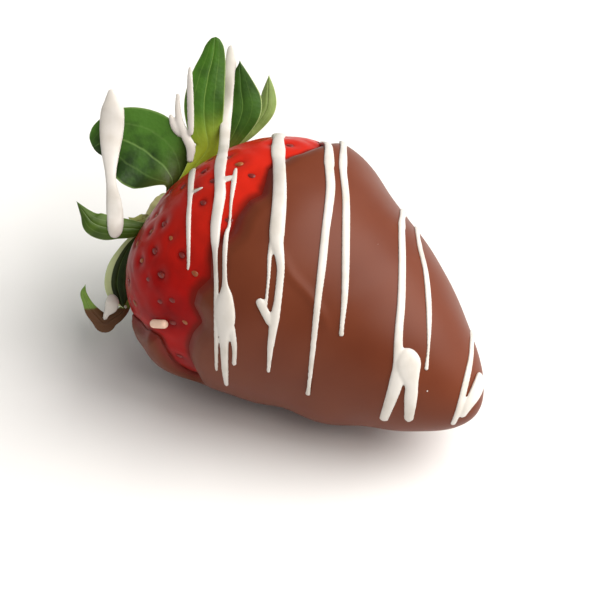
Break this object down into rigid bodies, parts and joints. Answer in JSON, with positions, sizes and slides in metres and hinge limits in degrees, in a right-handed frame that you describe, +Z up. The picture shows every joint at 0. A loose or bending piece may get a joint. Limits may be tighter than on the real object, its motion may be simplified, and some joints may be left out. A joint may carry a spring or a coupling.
{
  "type": "chocolate coated strawberry",
  "caption": "Whole strawberry dipped in milk chocolate and drizzled with white chocolate, lying on its side with its leafy green crown on.",
  "frame": {"origin": "middle of the footprint of the whole part, on the surface it lies on", "axes": "+Z up, +X from the leafy crown towards the tip of the fruit, -Y the drizzled front"},
  "size_m": [0.0648, 0.0376, 0.0399],
  "materials": {
    "strawberry_skin": null,
    "milk_chocolate": null,
    "calyx_green": null,
    "stalk_green": null,
    "white_chocolate": null,
    "seed_straw": null
  },
  "bodies": {
    "root": {"berry": "strawberry_skin", "chocolate_coat": "milk_chocolate", "calyx_hub": "stalk_green", "sepal_tall": "calyx_green", "sepal_back_upper": "calyx_green", "sepal_back_folded": "calyx_green", "sepal_broad": "calyx_green", "sepal_inner": "calyx_green", "sepal_front_folded": "calyx_green", "sepal_shoulder": "calyx_green", "sepal_dipped": "calyx_green", "sepal_under": "calyx_green", "sepal_back_lower": "calyx_green", "sepal_back": "calyx_green"}
  },
  "joints": []
}
